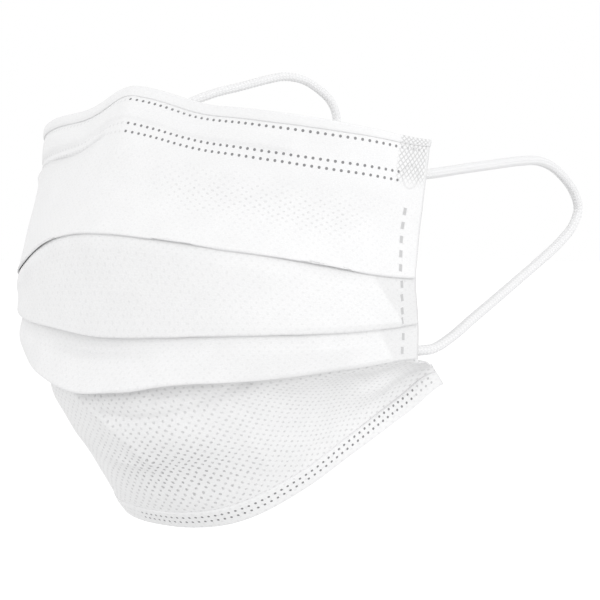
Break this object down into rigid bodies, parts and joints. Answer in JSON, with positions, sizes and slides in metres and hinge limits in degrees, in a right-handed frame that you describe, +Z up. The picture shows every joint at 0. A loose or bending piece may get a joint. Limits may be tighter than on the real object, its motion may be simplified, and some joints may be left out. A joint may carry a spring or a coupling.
{
  "type": "surgical face mask",
  "caption": "White disposable surgical face mask in its worn shape, with pleats, a bendable nose strip in the bound upper edge, a bound chin edge and round elastic ear loops.",
  "frame": {"origin": "crest of the nose bridge, at the middle of the mask's upper edge, where the mask sits on the nose", "axes": "+Z up, -Y the way the wearer looks, +X the wearer's left"},
  "size_m": [0.1258, 0.1423, 0.1221],
  "materials": {
    "nonwoven_sheet": "matte spunbond with fine diamond embossing",
    "nonwoven_binding": "matte spunbond, folded and spot welded",
    "wire_jacket": "white jacket on a bendable strip",
    "elastic_cord": "fine knitted elastic"
  },
  "bodies": {
    "root": {"pleated_panel": "nonwoven_sheet", "upper_binding": "nonwoven_binding", "lower_binding": "nonwoven_binding", "nose_wire": "wire_jacket", "ear_loop_left": "elastic_cord", "ear_loop_right": "elastic_cord", "weld_tab_upper_left": "elastic_cord", "weld_tab_lower_left": "elastic_cord", "weld_tab_upper_right": "elastic_cord", "weld_tab_lower_right": "elastic_cord"}
  },
  "joints": []
}
